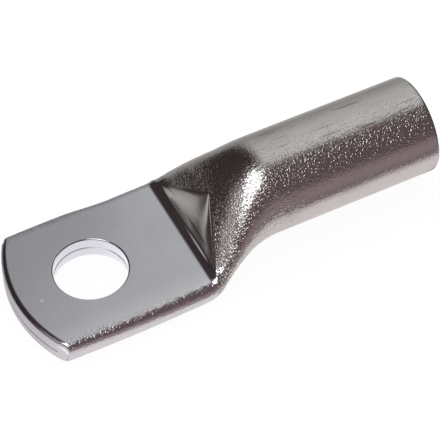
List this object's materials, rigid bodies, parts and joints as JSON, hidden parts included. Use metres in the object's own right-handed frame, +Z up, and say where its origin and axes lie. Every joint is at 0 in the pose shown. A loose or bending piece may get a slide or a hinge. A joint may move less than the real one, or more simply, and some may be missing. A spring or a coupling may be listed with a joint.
{
  "type": "tubular cable lug",
  "caption": "Tin-plated copper tube lug: round barrel for a stripped cable end, pressed flat into a palm with a bolt hole and an arched end.",
  "frame": {"origin": "on the bolt hole's axis, on the palm's underside", "axes": "+X along the barrel to its mouth, +Y across the palm, +Z up through the bolt hole"},
  "size_m": [0.0633, 0.0228, 0.0144],
  "materials": {
    "tinned_copper": "bright electro-tinned copper with a fine orange-peel grain, smooth where the press flattened it"
  },
  "bodies": {
    "root": {"cable_lug": "tinned_copper"}
  },
  "joints": []
}
